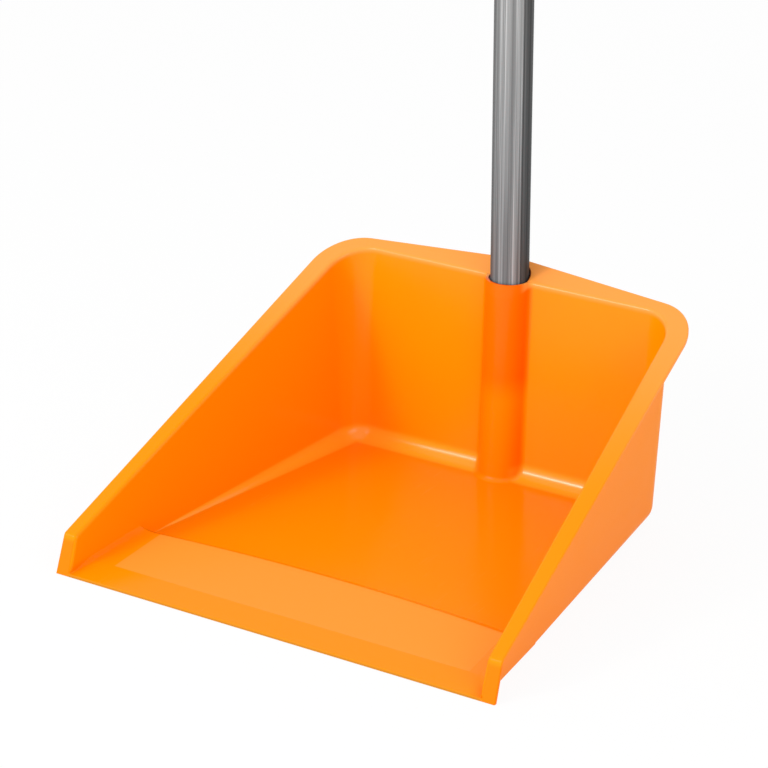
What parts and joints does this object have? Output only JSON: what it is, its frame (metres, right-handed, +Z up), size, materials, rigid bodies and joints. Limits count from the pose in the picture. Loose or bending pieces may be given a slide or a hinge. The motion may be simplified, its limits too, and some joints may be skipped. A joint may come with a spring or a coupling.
{
  "type": "upright dustpan",
  "caption": "Upright dustpan: an open wedge-shaped moulded pan with an inclined rim flange, a ramped lip and a socket in its back wall that takes a tubular metal pole with a hanging eye.",
  "frame": {"origin": "on the ground, below the middle of the whole object's bounding box", "axes": "+Z up along the pole, +Y from the open mouth to the back wall, +X to the right as seen from the mouth"},
  "size_m": [0.2998, 0.283, 0.7427],
  "materials": {
    "pan_plastic": "bright orange moulded plastic, soft gloss",
    "pole_steel": "grey lacquered steel tube with lengthwise roll lines",
    "plug_plastic": "black moulded plastic",
    "cap_plastic": "bright orange moulded plastic, soft gloss"
  },
  "bodies": {
    "pan": {"pan": "pan_plastic"},
    "handle": {"pole_tube": "pole_steel", "pole_plug": "plug_plastic", "hang_cap": "cap_plastic"}
  },
  "joints": [
    {"name": "pole_pull", "type": "slide", "parent": "pan", "child": "handle", "axis": [0, 0, 1], "range_m": [0, 0.075]}
  ]
}
